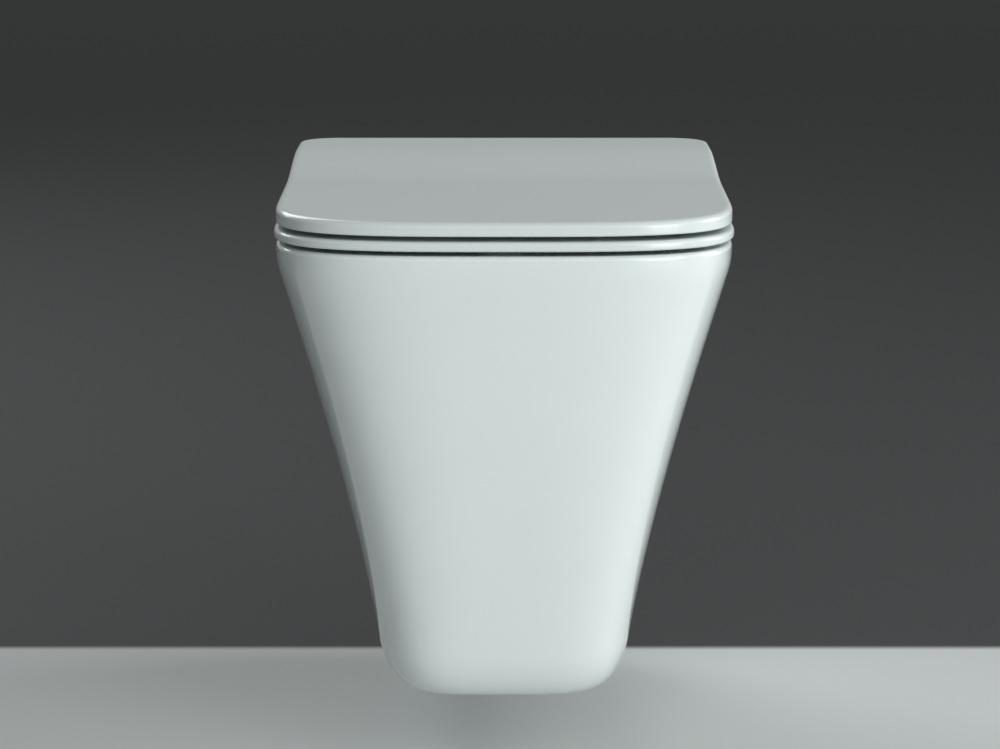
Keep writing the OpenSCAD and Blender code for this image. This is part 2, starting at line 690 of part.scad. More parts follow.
// Rubber collar in the inlet socket, ribbed outside, plain bore for the pipe
pipe_r = inlet_d / 2 - 5;
seal_r = inlet_d / 2 - snug_fit;
seal_l = inlet_l - 3;
rib_pitch = 6;
rib_depth = 1.5;
module inlet_seal() color(rubber) translate([0, -inlet_l + 2, inlet_z]) rotate([-90, 0, 0])
    rotate_extrude() polygon(concat(
        [[pipe_r, 0], [pipe_r, seal_l - 3], [pipe_r + 2, seal_l], [seal_r, seal_l]],
        [for (i = [5:-1:1]) each [[seal_r, i * rib_pitch + 2], [seal_r - rib_depth, i * rib_pitch],
            [seal_r - rib_depth, (i - 0.5) * rib_pitch]]],
        [[seal_r, 0]]));

pan();
deck();
back_wall();
bowl();
seat_ring();
lid();
seat_bumpers();
lid_bumpers();
hinge_base_left();
hinge_base_right();
hinge_gaskets();
hinge_cover_left();
hinge_cover_right();
lid_damper();
seat_damper();
lid_spindle();
seat_spindle();
seat_bushes();
lid_bushes();
post_o_rings();
hinge_bolts();
hinge_plugs();
hinge_nuts();
clamp_block_left();
clamp_block_right();
stud_washers();
stud_nuts();
side_screws();
side_caps();
inlet_seal();
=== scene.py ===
import math

import bmesh
import bpy
import numpy as np
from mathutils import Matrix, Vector


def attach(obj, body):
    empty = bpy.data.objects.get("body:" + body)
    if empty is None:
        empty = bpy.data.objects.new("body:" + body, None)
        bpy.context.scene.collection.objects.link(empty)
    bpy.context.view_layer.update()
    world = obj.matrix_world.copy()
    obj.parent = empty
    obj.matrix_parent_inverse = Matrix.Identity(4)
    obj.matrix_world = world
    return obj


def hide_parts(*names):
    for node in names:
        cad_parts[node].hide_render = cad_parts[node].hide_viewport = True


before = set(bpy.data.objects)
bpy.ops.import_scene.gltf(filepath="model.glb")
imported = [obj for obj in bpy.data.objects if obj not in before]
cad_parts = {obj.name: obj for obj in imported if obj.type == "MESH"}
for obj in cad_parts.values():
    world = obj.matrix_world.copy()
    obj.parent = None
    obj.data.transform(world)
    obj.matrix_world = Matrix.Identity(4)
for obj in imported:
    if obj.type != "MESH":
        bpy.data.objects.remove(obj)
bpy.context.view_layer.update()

# The pan is one hollow casting of vitreous china: skirt, deck, bowl, trap and
# outlet in one, glazed all over but for the face that lies on the wall. It
# hangs on two wall studs. Sizes are in millimetres from here on.
rim_z, pan_bottom = 85, -275
pan_w, pan_l, foot_w, foot_l = 353, 515, 196, 442
band_h, band_soft, side_bend, front_bend = 15, 3, 1.33, 0.9
rim_nose, foot_nose, rim_square, foot_square = 130, 170, 3.4, 4.3
rim_edge_r, rim_flat, foot_round, foot_rise, foot_flat, wall_corner_r = 4, 1, 16, 36, 1.5, 3
skirt_t, deck_t, floor_t, bowl_t, back_t, back_z = 12, 14, 12, 11, 14, -30
bowl_w, bowl_front, bowl_back = 268, 470, 176
bowl_nose, bowl_square, bowl_corner, lip_r = 130, 2.8, 78, 6
trap_r, trap_bend, water_z, throat_z = 39, 58, -118, -150
outlet_drop, outlet_r, outlet_bore_r, outlet_l = 100, 51, 43, 45
inlet_z, inlet_r, inlet_l, channel_r = 35, 27.5, 44, 20
stud_x, stud_port_r = 90, 10
hinge_x, hinge_y, deck_hole_r = 77.5, 55, 7
side_screw_y, side_hole_r, cap_r, cap_depth, cap_drop, block_side = 40, 5, 9, 3, 12, 108

# Points on the nose, the straight side, the rear corner and half the back of
# every outline
FINE = 4
NOSE, SIDE, CORNER, BACK = 10 * FINE, 4 * FINE, 3 * FINE, 3 * FINE


def lerp(a, b, k):
    return a + (b - a) * k


def ease(u):
    u = min(max(u, 0), 1)
    return u * u * (3 - 2 * u)


def half_outline(w, front, back, nose, square, corner):
    """Right half of an outline, from the middle of its front round to the middle of its back."""
    a = np.linspace(0, math.pi / 2, NOSE + 1)
    b = np.linspace(0, math.pi / 2, CORNER + 1)[1:]
    side = np.linspace(front + nose, back - corner, SIDE + 1)[1:]
    rear = np.linspace(w - corner, 0, BACK + 1)[1:]
    x = [w * np.sin(a) ** (2 / square), np.full(SIDE, w), w - corner * (1 - np.cos(b)), rear]
    y = [front + nose * (1 - np.cos(a).clip(0) ** (2 / square)), side,
         back - corner * (1 - np.sin(b)), np.full(BACK, back)]
    return np.column_stack([np.concatenate(x), np.concatenate(y)])


def half_circle(r, y):
    """The same number of points round half a circle, front to back."""
    a = np.linspace(-math.pi / 2, math.pi / 2, NOSE + SIDE + CORNER + BACK + 1)
    return np.column_stack([r * np.cos(a), y + r * np.sin(a)])


def level(half, z):
    """A whole outline at height z, its left half mirrored from its right half."""
    ring = np.vstack([half, half[-2:0:-1] * [-1, 1]])
    return np.column_stack([ring, np.full(len(ring), z)])


def new_object(name, mesh):
    piece = bpy.data.objects.new(name, mesh)
    bpy.context.scene.collection.objects.link(piece)
    return piece


def welded(mesh):
    """A mesh with coincident points joined and its faces turned outwards."""
    shape = bmesh.new()
    shape.from_mesh(mesh)
    bmesh.ops.remove_doubles(shape, verts=shape.verts, dist=2e-6)
    bmesh.ops.recalc_face_normals(shape, faces=shape.faces)
    shape.to_mesh(mesh)
    shape.free()
    return mesh


def new_piece(name, points, faces):
    """A mesh object from points in millimetres."""
    mesh = bpy.data.meshes.new(name)
    mesh.from_pydata((np.asarray(points) / 1000).tolist(), [], faces)
    return new_object(name, welded(mesh))


def loft(name, rings, ends="flat"):
    """A skin through rings: closed by flat ends, by strips across, or on itself as a hoop."""
    n = len(rings[0])
    total = n * len(rings)
    bands = len(rings) if ends == "hoop" else len(rings) - 1
    faces = [(k * n + j, k * n + (j + 1) % n, ((k + 1) * n + (j + 1) % n) % total, ((k + 1) * n + j) % total)
             for k in range(bands) for j in range(n)]
    last = total - n
    if ends == "flat":
        faces += [tuple(range(n)), tuple(range(last, total))]
    if ends == "strips":
        turn = n // 2 - BACK
        for start in (0, last):
            faces.append((start, start + 1, start + n - 1))
            faces += [tuple(start + i for i in (j, j + 1, n - j - 1, n - j)) for j in range(1, turn - 1)]
            faces.append(tuple(start + i for i in range(turn - 1, n - turn + 2)))
    return new_piece(name, np.vstack(rings), faces)


def rounded(corners, closed, steps=5):
    """A profile through corners (across, along, radius), each corner turned into an arc."""
    points = []
    for i, (x, y, r) in enumerate(corners):
        here = Vector((x, y))
        if r == 0 or (not closed and i in (0, len(corners) - 1)):
            points.append(here)
            continue
        before = (Vector(corners[i - 1][:2]) - here).normalized()
        after = (Vector(corners[(i + 1) % len(corners)][:2]) - here).normalized()
        gap = before.angle(after)
        centre = here + (before + after).normalized() * (r / math.sin(gap / 2))
        start = here + before * (r / math.tan(gap / 2)) - centre
        end = here + after * (r / math.tan(gap / 2)) - centre
        points += [centre + start.slerp(end, k / steps).normalized() * r for k in range(steps + 1)]
    return [tuple(p) for p in points]


def turned(corners, centre, along=(0, 0, 1), steps=72):
    """Rings of corners (radius, distance, rounding) turned about the line that runs along from centre."""
    turn = np.array(Vector((0, 0, 1)).rotation_difference(Vector(along)).to_matrix())
    a = np.linspace(0, 2 * math.pi, steps, endpoint=False)
    profile = rounded(corners, corners[0][0] > 0)
    for end, beside in ((0, 1), (-1, -2)):
        if profile[end] == (0, profile[beside][1]):
            profile.pop(end)
    return [np.column_stack([r * np.cos(a), r * np.sin(a), np.full(steps, h)]) @ turn.T + np.array(centre)
            for r, h in profile]


def lathe(name, corners, centre, along=(0, 0, 1), steps=72):
    """A turned piece. A profile that starts on its line makes a solid, and any other one a tube."""
    return loft(name, turned(corners, centre, along, steps), "hoop" if corners[0][0] > 0 else "flat")


def rod(name, r, start, end, centre, along=(0, 0, 1), edge=0, steps=72):
    """A round bar on the line through centre, its two edges rounded."""
    return lathe(name, [(0, start, 0), (r, start, edge), (r, end, edge), (0, end, 0)], centre, along, steps)


# How far a cutting tool stands out of what it cuts
overshoot = 3


def bore(steps, centre, along, mouth=1.5):
    """A tool for a hole of steps (radius, depth) that runs along from centre, with an eased edge there."""
    first, depth = steps[0][0], mouth
    corners = [(0, -overshoot, 0), (first + mouth + overshoot, -overshoot, 0), (first, mouth, 2 * mouth)]
    for r, end in steps:
        corners += [(r, depth, 0)] * (r != first) + [(r, end, 0)]
        depth = end
    return lathe("bore", corners + [(0, depth, 0)], centre, along)


def applied(piece, kind, settings):
    """A piece with one modifier worked into its mesh."""
    step = piece.modifiers.new(kind, kind)
    for name, value in settings.items():
        setattr(step, name, value)
    mesh = bpy.data.meshes.new_from_object(piece.evaluated_get(bpy.context.evaluated_depsgraph_get()))
    piece.modifiers.clear()
    piece.data = mesh
    return piece


def carve(piece, tools, operation="DIFFERENCE"):
    """Cut tools out of a piece, or join them to it, and remove them."""
    for tool in tools:
        applied(piece, "BOOLEAN", {"solver": "EXACT", "operation": operation, "object": tool})
        welded(piece.data)
        bpy.data.objects.remove(tool)
    return piece


def merged(name, pieces):
    """One object of several solids that don't touch."""
    whole = bmesh.new()
    for piece in pieces:
        whole.from_mesh(piece.data)
        bpy.data.objects.remove(piece)
    mesh = bpy.data.meshes.new(name)
    whole.to_mesh(mesh)
    whole.free()
    return new_object(name, mesh)


def pair(name, build):
    return merged(name, [build(side) for side in (-1, 1)])


def fit(piece, finish, body, slot, *nodes):
    """Give a piece its finish, and put it on its body in place of its CAD nodes."""
    piece.name = "visual_" + nodes[0]
    piece.data.materials.clear()
    piece.data.materials.append(bpy.data.materials[finish])
    piece.data.shade_smooth()
    piece.data.set_sharp_from_angle(angle=math.radians(32))
    applied(piece, "WEIGHTED_NORMAL", {"keep_sharp": True})
    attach(piece, body)
    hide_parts(*nodes)


def soft_drop(z):
    """The depth of z below the rim's upright band, eased in where the band ends."""
    drop = rim_z - band_h - z
    return (drop + math.hypot(drop, 2 * band_soft)) / 2


def taper(z):
    """1 at the rim, 0 at the foot."""
    return (soft_drop(z) - soft_drop(pan_bottom)) / (soft_drop(rim_z) - soft_drop(pan_bottom))


def pan_half(z, inset, back=0, corner=wall_corner_r):
    """The skirt's outline at height z, moved in by inset and closed at the rear on y = back."""
    k = taper(z)
    half_w = lerp(foot_w, pan_w, k ** side_bend) / 2
    reach = lerp(foot_l, pan_l, k ** front_bend)
    return half_outline(half_w - inset, inset - reach, back, lerp(foot_nose, rim_nose, k) - inset,
                        lerp(foot_square, rim_square, k), corner)


quarter = np.linspace(0, math.pi / 2, 13)
body_z = np.linspace(pan_bottom + foot_rise, rim_z - rim_edge_r, 64)[1:]
foot_z = [pan_bottom + foot_rise * (1 - math.cos(a)) for a in quarter]
edge_z = [rim_z - rim_edge_r * (1 - math.sin(a)) for a in quarter[1:]]
outer_rings = [level(pan_half(pan_bottom, foot_round + foot_flat, -foot_flat), pan_bottom)]
outer_rings += [level(pan_half(z, foot_round * (1 - math.sin(a))), z) for z, a in zip(foot_z, quarter)]
outer_rings += [level(pan_half(z, 0), z) for z in body_z]
outer_rings += [level(pan_half(z, rim_edge_r * (1 - math.cos(a))), z) for z, a in zip(edge_z, quarter[1:])]
outer_rings.append(level(pan_half(rim_z, rim_edge_r + rim_flat, -rim_flat), rim_z))

# The trap is walked in short moves (length, turn): down out of the bowl, round
# under the dip, up over the weir and down to the outlet. Heading 0 is down.
rise_heading = math.radians(155)
crest_z = water_z + trap_r
low_z = throat_z - trap_bend * math.sin(rise_heading)
rise_l = (crest_z - low_z - trap_bend * (1 - math.sin(rise_heading))) / -math.cos(rise_heading)
fall_heading = math.asin(1 - (crest_z + outlet_drop) / (2 * trap_bend))
throat_y = outlet_l + rise_l * math.sin(rise_heading) + trap_bend * (
    1 - 2 * math.cos(rise_heading) + 2 * math.cos(fall_heading))


def bend(turn, steps):
    """The moves of one bend of the trap."""
    return [(2 * trap_bend * math.sin(abs(turn) / steps / 2), turn / steps)] * steps


def trap_rings(r):
    """Round rings of radius r square to the trap's line, from the throat to the outlet."""
    y, z, heading = -throat_y, throat_z, 0
    rings = []
    for length, turn in (bend(rise_heading, 24) + [(rise_l, 0)] + bend(math.pi / 2 - rise_heading, 12)
                         + bend(fall_heading - math.pi / 2, 8) + bend(math.pi / 2 - fall_heading, 8)):
        y += length * math.sin(heading + turn / 2)
        z -= length * math.cos(heading + turn / 2)
        heading += turn
        ring = level(half_circle(r, 0), 0)
        rings.append(np.column_stack([ring[:, 0], y + ring[:, 1] * math.cos(heading),
                                      z + ring[:, 1] * math.sin(heading)]))
    return rings


def bowl_half(u, t):
    """The bowl's outline at depth u, 0 at its edge and 1 at its throat, grown outwards by t."""
    edge = half_outline(bowl_w / 2 + t, -bowl_front - t, -bowl_back + t, bowl_nose, bowl_square, bowl_corner)
    return lerp(edge, half_circle(trap_r + t, -throat_y), ease(u))


depths = np.linspace(0, 1, 46)
bowl_top = rim_z - lip_r
bowl_rings = [level(bowl_half(0, lip_r + rim_flat), rim_z)]
bowl_rings += [level(bowl_half(0, lip_r * (1 - math.sin(a))), rim_z - lip_r * (1 - math.cos(a)))
               for a in quarter[:-1]]
bowl_rings += [level(bowl_half(u, 0), lerp(bowl_top, throat_z, u)) for u in depths]

# The hollow between skirt and bowl runs out through the wall's plane below the
# upper wall, and leaves the outlet spigot and the flush horn standing in it. It
# has a cove under the deck, and the bowl has a root there.
open_y, inner_corner_r, inner_round, horn_wall, horn_front = 5, 4, 16, 8, bowl_back + 24
sill_rise, cove_w, cove_h, root_w, root_h, belly = 9, 5, 7, 4, 5, 3
spigot_start, spigot_full, spigot_chamfer = -6, 1.4, 5
cavity_top = rim_z - deck_t
floor_levels = [(pan_bottom + floor_t + inner_round * (1 - math.cos(a)), inner_round * (1 - math.sin(a)))
                for a in quarter[::3]]
floor_levels += [(z, 0) for z in np.linspace(pan_bottom + foot_rise, back_z - sill_rise, 5)]
cavity_rings = [level(pan_half(z, skirt_t + inset, open_y, inner_corner_r), z) for z, inset in floor_levels]
cavity_rings += [level(pan_half(z, skirt_t, -back_t, inner_corner_r), z)
                 for z in (back_z, lerp(back_z, cavity_top, 0.5), cavity_top - cove_h)]
cavity_rings.append(level(pan_half(cavity_top, skirt_t + cove_w, -back_t - cove_w, inner_corner_r),
                          cavity_top))
cavity_rings.append(level(bowl_half(0, bowl_t + root_w), cavity_top))
cavity_rings += [level(bowl_half(u, bowl_t), min(lerp(bowl_top, throat_z, u), cavity_top - root_h)
                       - belly * ease(u) * (1 - ease(u))) for u in depths]
hollow = loft("hollow", cavity_rings + trap_rings(trap_r + bowl_t))
spigot = lathe("spigot", [
    (0, spigot_start, 0), (outlet_r - spigot_chamfer, spigot_start, 0), (outlet_r, spigot_full, 0),
    (outlet_r, outlet_l + overshoot, 0), (0, outlet_l + overshoot, 0)], (0, 0, -outlet_drop), (0, -1, 0), 96)
horn = rod("horn", inlet_r + horn_wall, back_t - 2, horn_front, (0, 0, inlet_z), (0, -1, 0))
carve(hollow, [spigot, horn])


def skin_half_w(z):
    """Half the pan's width on its straight side at height z."""
    return pan_half(z, 0)[:, 0].max()


side_tilt = math.atan((skin_half_w(0) - skin_half_w(-2 * cap_drop)) / (2 * cap_drop))
screw_run = (skin_half_w(-cap_drop) - block_side) / math.cos(side_tilt)
cap_seat = screw_run - cap_depth
way_end = screw_run + 20


def side_way(side):
    """Where a side screw's line leaves its clamp block, and which way it runs."""
    return (side * block_side, -side_screw_y, 0), (side * math.cos(side_tilt), 0, -math.sin(side_tilt))


cuts = [bore([(outlet_bore_r, outlet_l + 6)], (0, 0, -outlet_drop), (0, -1, 0), 3),
        bore([(inlet_r, inlet_l), (channel_r, horn_front + 2)], (0, 0, inlet_z), (0, -1, 0))]
for side in (-1, 1):
    cuts += [bore([(stud_port_r, back_t + 1)], (side * stud_x, 0, 0), (0, -1, 0)),
             bore([(deck_hole_r, deck_t + 1)], (side * hinge_x, -hinge_y, rim_z), (0, 0, -1), 1),
             lathe("side_way", [(0, 0, 0), (side_hole_r, 0, 0), (side_hole_r, cap_seat, 0),
                                (cap_r, cap_seat, 0), (cap_r, way_end, 0), (0, way_end, 0)], *side_way(side))]
pan = carve(loft("china_pan", outer_rings + bowl_rings + trap_rings(trap_r)), [hollow, merged("cuts", cuts)])


class Wire:
    """A socket in a material. Python's operators on it add Math nodes."""

    def __init__(self, tree, socket=None):
        self.tree = tree
        self.socket = socket

    def node(self, kind, settings=(), sockets=(), output=0):
        made = self.tree.nodes.new(kind)
        for name, value in dict(settings).items():
            setattr(made, name, value)
        for name, value in dict(sockets).items():
            if isinstance(value, Wire):
                self.tree.links.new(value.socket, made.inputs[name])
            else:
                made.inputs[name].default_value = value
        return Wire(self.tree, made.outputs[output])

    def sum(self, operation, first, second):
        return self.node("ShaderNodeMath", {"operation": operation}, {0: first, 1: second})

    def __add__(self, other):
        return self.sum("ADD", self, other)

    def __sub__(self, other):
        return self.sum("SUBTRACT", self, other)

    def __rsub__(self, other):
        return self.sum("SUBTRACT", other, self)

    def __mul__(self, other):
        return self.sum("MULTIPLY", self, other)

    __radd__ = __add__
    __rmul__ = __mul__


def new_finish(name):
    """A bare material, as a wire that adds nodes to it."""
    material = bpy.data.materials.new(name)
    material.use_nodes = True
    material.node_tree.nodes.clear()
    return Wire(material.node_tree)


def noise(wire, size, detail=2, stretch=(1, 1, 1)):
    """Soft noise from 0 to 1 whose features are about size millimetres."""
    place = wire.node("ShaderNodeTexCoord", output=3)
    place = wire.node("ShaderNodeMapping", {}, {"Vector": place, "Scale": stretch})
    return wire.node("ShaderNodeTexNoise", {}, {"Vector": place, "Scale": 1000 / size, "Detail": detail})


def between(wire, value, low, high):
    """0 where value is at or below low, 1 at or above high, and smooth between."""
    return wire.node("ShaderNodeMapRange", {"interpolation_type": "SMOOTHSTEP"},
                     {"Value": value, "From Min": low, "From Max": high})


def mixed(wire, factor, first, second):
    """A colour between two others, each of them three numbers or a wire."""
    first, second = (c if isinstance(c, Wire) else (*c, 1) for c in (first, second))
    return wire.node("ShaderNodeMix", {"data_type": "RGBA"}, {0: factor, 6: first, 7: second}, 2)


def bumped(wire, height, depth):
    """A normal for relief whose full height is depth millimetres."""
    return wire.node("ShaderNodeBump", {}, {"Height": height, "Distance": depth / 1000, "Strength": 1})


def painted(wire, sockets):
    """Close a material with its Principled shader."""
    shader = wire.node("ShaderNodeBsdfPrincipled", {}, sockets)
    wire.tree.links.new(shader.socket, wire.tree.nodes.new("ShaderNodeOutputMaterial").inputs[0])


# Glaze: cool white with slow waves from its run before firing. The face that
# lies on the wall stays bare, a dull warm biscuit with fine grit.
wire = new_finish("glazed_china")
run_of_glaze = noise(wire, 60)
orange_peel = noise(wire, 5)
grit = noise(wire, 0.8, 4)
depth_y = wire.node("ShaderNodeSeparateXYZ", {}, {0: wire.node("ShaderNodeTexCoord", output=3)}, 1)
bare = between(wire, depth_y + 0.0006 * orange_peel, -0.0007, -0.0001)
glaze = mixed(wire, run_of_glaze, (0.665, 0.73, 0.724), (0.69, 0.755, 0.748))
biscuit = mixed(wire, grit, (0.50, 0.47, 0.42), (0.62, 0.59, 0.53))
painted(wire, {
    "Base Color": mixed(wire, bare, glaze, biscuit),
    "Roughness": 0.16 + 0.08 * orange_peel + 0.6 * bare, "IOR": 1.5, "Coat Weight": 1 - bare,
    "Coat Roughness": 0.04, "Coat IOR": 1.5,
    "Normal": bumped(wire, run_of_glaze + 0.04 * orange_peel + 0.5 * grit * bare, 0.12)})
fit(pan, "glazed_china", "pan_body", "china", "pan", "deck", "back_wall", "bowl")

# A soft black rubber collar fills the inlet socket. Its lips grip the socket,
# and the flush pipe is pushed into its plain bore.
pipe_r, collar_r, collar_l, collar_depth = inlet_r - 5, inlet_r - 0.02, inlet_l - 3, inlet_l - 2
lips, lip_pitch, lip_slope, lip_root_r, lead_w, lead_l = 5, 6, 2, collar_r - 1.5, 2, 3
profile = [(pipe_r, 0, 0.4), (pipe_r, collar_l - lead_l, 1), (pipe_r + lead_w, collar_l, 0.4),
           (collar_r, collar_l, 0.6)]
for i in range(lips, 0, -1):
    profile += [(collar_r, i * lip_pitch + lip_slope, 0.3), (lip_root_r, i * lip_pitch, 0.4),
                (lip_root_r, (i - 0.5) * lip_pitch, 0.4)]
seal = lathe("inlet_seal", profile + [(collar_r, 0, 0.5)], (0, -collar_depth, inlet_z), (0, 1, 0), 96)

wire = new_finish("black_rubber")
mould = noise(wire, 0.7, 4)
bloom = noise(wire, 14, 3)
painted(wire, {
    "Base Color": mixed(wire, between(wire, bloom, 0.35, 0.75), (0.018, 0.018, 0.020), (0.040, 0.040, 0.043)),
    "Roughness": 0.52 + 0.2 * mould, "IOR": 1.52, "Normal": bumped(wire, mould + 0.5 * bloom, 0.05)})
fit(seal, "black_rubber", "pan_body", "black_rubber", "inlet_seal")

# Two clamp blocks of glass filled plastic slide on the wall studs, behind the
# upper wall, and each has a nose that stands in the wall's hole.
block_w, block_l, block_back, stud_hole_r, screw_bite = 36, 50, back_t + 0.3, 6.5, 7.5
block_front = block_back + block_l
side_screw_r = 4


def box(name, x, y, z):
    """A block between two places on each axis."""
    corners = [(x[i], y[j], height) for height in z for i, j in ((0, 0), (1, 0), (1, 1), (0, 1))]
    faces = [(0, 1, 2, 3), (4, 5, 6, 7)] + [(i, (i + 1) % 4, (i + 1) % 4 + 4, i + 4) for i in range(4)]
    return new_piece(name, corners, faces)


def clamp_block(side):
    half, stud = block_w / 2, (side * stud_x, 0, 0)
    block = box("block", (stud[0] - half, stud[0] + half), (-block_back, -block_front), (-half, half))
    applied(block, "BEVEL", {"width": 0.0015, "segments": 4})
    nose = rod("nose", stud_port_r - 0.3, 0, block_back + 8, stud, (0, -1, 0), 1)
    carve(block, [nose], "UNION")
    way, outwards = side_way(side)
    start = tuple(np.array(way) - (screw_bite + 0.5) * np.array(outwards))
    stud_way = bore([(stud_hole_r, block_front + 4)], stud, (0, -1, 0), 1)
    pilot = rod("pilot", side_screw_r + 0.02, 0, screw_bite + 4, start, outwards)
    return carve(block, [stud_way, pilot])


wire = new_finish("filled_plastic")
fibres = noise(wire, 0.5, 3, (1, 0.12, 1))
cloud = noise(wire, 9, 3)
painted(wire, {
    "Base Color": mixed(wire, between(wire, fibres, 0.55, 0.8), (0.022, 0.023, 0.025), (0.060, 0.061, 0.064)),
    "Roughness": 0.42 + 0.16 * cloud + 0.08 * fibres, "IOR": 1.53,
    "Normal": bumped(wire, fibres + 0.6 * cloud, 0.03)})
for side, name in ((-1, "clamp_block_left"), (1, "clamp_block_right")):
    fit(clamp_block(side), "filled_plastic", "pan_body", "plastic", name)

# A washer and a hexagon nut on each stud, reached from under the skirt. Both
# are zinc plated steel, the nut with a chamfer and a cut thread.
washer_r, washer_t, nut_r, nut_h = 12, 2.5, 11, 10


def thread(r, depth, pitch, start, end, centre, along=(0, 0, 1), steps=48):
    """Rings of a helical thread of crest radius r, from start to end."""
    turn = np.array(Vector((0, 0, 1)).rotation_difference(Vector(along)).to_matrix())
    a = np.linspace(0, 2 * math.pi, steps, endpoint=False)
    rings = []
    for h in np.linspace(start, end, round(8 * (end - start) / pitch) + 1):
        flank = np.abs((h / pitch - a / (2 * math.pi)) % 1 - 0.5) * 2
        radius = r - depth * np.clip(1.25 - 1.5 * flank, 0, 1)
        rings.append(np.column_stack([radius * np.cos(a), radius * np.sin(a), np.full(steps, h)]) @ turn.T
                     + np.array(centre))
    return rings


def hexagon(name, r, start, end, centre, along=(0, 0, 1), chamfer=0):
    """A hexagon bar over its corners, with the chamfer of a turned nut on both ends."""
    bar = lathe(name, [(0, start, 0), (r, start, 0), (r, end, 0), (0, end, 0)], centre, along, 6)
    if not chamfer:
        return bar
    low = r - 1.7 * chamfer
    cone = lathe("cone", [
        (0, start - 0.5, 0), (low - 0.6, start - 0.5, 0), (r + 0.5, start + chamfer, 0),
        (r + 0.5, end - chamfer, 0), (low - 0.6, end + 0.5, 0), (0, end + 0.5, 0)], centre, along)
    return carve(bar, [cone], "INTERSECT")


def stud_nut(side):
    at = (side * stud_x, -block_front - washer_t, 0)
    nut = hexagon("nut", nut_r, 0, nut_h, at, (0, -1, 0), 1.0)
    return carve(nut, [loft("tap", thread(stud_hole_r + 0.2, 0.7, 1.75, -1, nut_h + 1, at, (0, -1, 0)))])


washers = pair("stud_washers", lambda side: lathe(
    "washer", [(stud_hole_r, 0, 0.3), (washer_r, 0, 0.4), (washer_r, washer_t, 0.4),
               (stud_hole_r, washer_t, 0.3)], (side * stud_x, -block_front, 0), (0, -1, 0)))
nuts = pair("stud_nuts", stud_nut)

wire = new_finish("bright_steel")
turning = noise(wire, 1.2, 4, (0.25, 1, 0.25))
patina = noise(wire, 11, 3)
painted(wire, {
    "Base Color": mixed(wire, patina, (0.46, 0.46, 0.47), (0.64, 0.64, 0.65)), "Metallic": 1.0,
    "Roughness": 0.22 + 0.16 * turning + 0.1 * patina, "Normal": bumped(wire, turning, 0.02)})
fit(washers, "bright_steel", "pan_body", "steel", "stud_washers")
fit(nuts, "bright_steel", "pan_body", "steel", "stud_nuts")

# Two zinc plated side screws run through the skirt into the clamp blocks and
# pull the pan to the wall. A cap of the same glazed china hides each head.
head_r, head_h, head_top, socket_r, socket_l = side_screw_r + 0.7, 5, cap_seat - 1, 2.9, 3


def side_screw(side):
    way, outwards = side_way(side)
    shank = [(side_screw_r, 0.5, 0), (side_screw_r, head_top - head_h, 0.2), (head_r, head_top - head_h, 0.2),
             (head_r, head_top, 0.4), (0, head_top, 0)]
    screw = loft("screw", thread(side_screw_r, 0.5, 1.25, -screw_bite, 0, way, outwards)
                 + turned(shank, way, outwards, 48))
    return carve(screw, [hexagon("key", socket_r, head_top - socket_l, cap_seat, way, outwards)])


screws = pair("side_screws", side_screw)
fit(screws, "bright_steel", "pan_body", "steel", "side_screws")
caps = pair("side_caps", lambda side: lathe(
    "cap", [(0, cap_seat, 0), (cap_r - 0.3, cap_seat, 0.2), (cap_r - 0.3, screw_run - 0.6, 0.6),
            (cap_r - 1.3, screw_run + 0.2, 1), (0, screw_run + 0.8, 0)], *side_way(side)))
fit(caps, "glazed_china", "pan_body", "china", "side_caps")

# The hinge posts stand on the deck: a foot plate and a post in one, turned
# from steel, on a thin rubber gasket, with an O-ring in a groove near the top.
cover_r, post_r, gasket_t, base_t, barrel_r, axis_rise = 25, 8, 0.5, 2.5, 9.5, 26
axis_z = rim_z + axis_rise
post_top = axis_z - barrel_r - 1.5
base_z = rim_z + gasket_t
post_h, ring_r, ring_drop, seat_under_head, bolt_r = post_top - base_z, 0.95, 4, 3, 3
bolt_head_r = bolt_r + 2


def on_deck(side, z):
    """The place at height z on a hinge post's line."""
    return (side * hinge_x, -hinge_y, z)


def hinge_base(side):
    seat_h, inner_r, groove = base_t + seat_under_head, post_r - 2 * ring_r, post_h - ring_drop
    profile = [(bolt_r + 0.3, 0, 0.2), (bolt_r + 0.3, seat_h, 0.2), (bolt_head_r + 0.3, seat_h, 0.2),
               (bolt_head_r + 0.3, post_h, 0.3), (post_r, post_h, 0.6), (post_r, groove + 1, 0.1),
               (inner_r, groove + 1, 0.3), (inner_r, groove - 1, 0.3), (post_r, groove - 1, 0.1),
               (post_r, base_t, 1), (cover_r - 3, base_t, 0.5), (cover_r - 3, 0, 0.2)]
    return lathe("base", profile, on_deck(side, base_z))


gasket_r = cover_r - 3.5
gaskets = pair("hinge_gaskets", lambda side: lathe(
    "gasket", [(deck_hole_r, 0, 0), (gasket_r, 0, 0), (gasket_r, gasket_t, 0.15),
               (deck_hole_r, gasket_t, 0.15)], on_deck(side, rim_z)))
fit(gaskets, "black_rubber", "pan_body", "black_rubber", "hinge_gaskets")
for side, name in ((-1, "hinge_base_left"), (1, "hinge_base_right")):
    fit(hinge_base(side), "bright_steel", "pan_body", "steel", name)
hoop = [(post_r - ring_r + ring_r * math.cos(t), ring_r * math.sin(t), 0)
        for t in np.linspace(0, 2 * math.pi, 20, endpoint=False)]
o_rings = pair("post_o_rings", lambda side: lathe("o_ring", hoop, on_deck(side, post_top - ring_drop)))
fit(o_rings, "black_rubber", "pan_body", "black_rubber", "post_o_rings")

# A socket head bolt holds each post. It draws a brass nut into a ribbed rubber
# plug, which swells under the deck.
head_z = base_z + base_t + seat_under_head
bolt_end = cavity_top - 30
plug_r = deck_hole_r - 0.3
plug_low, plug_high, nut_low, hinge_nut_h = bolt_end + 8, cavity_top - 0.3, bolt_end + 2, 4.5


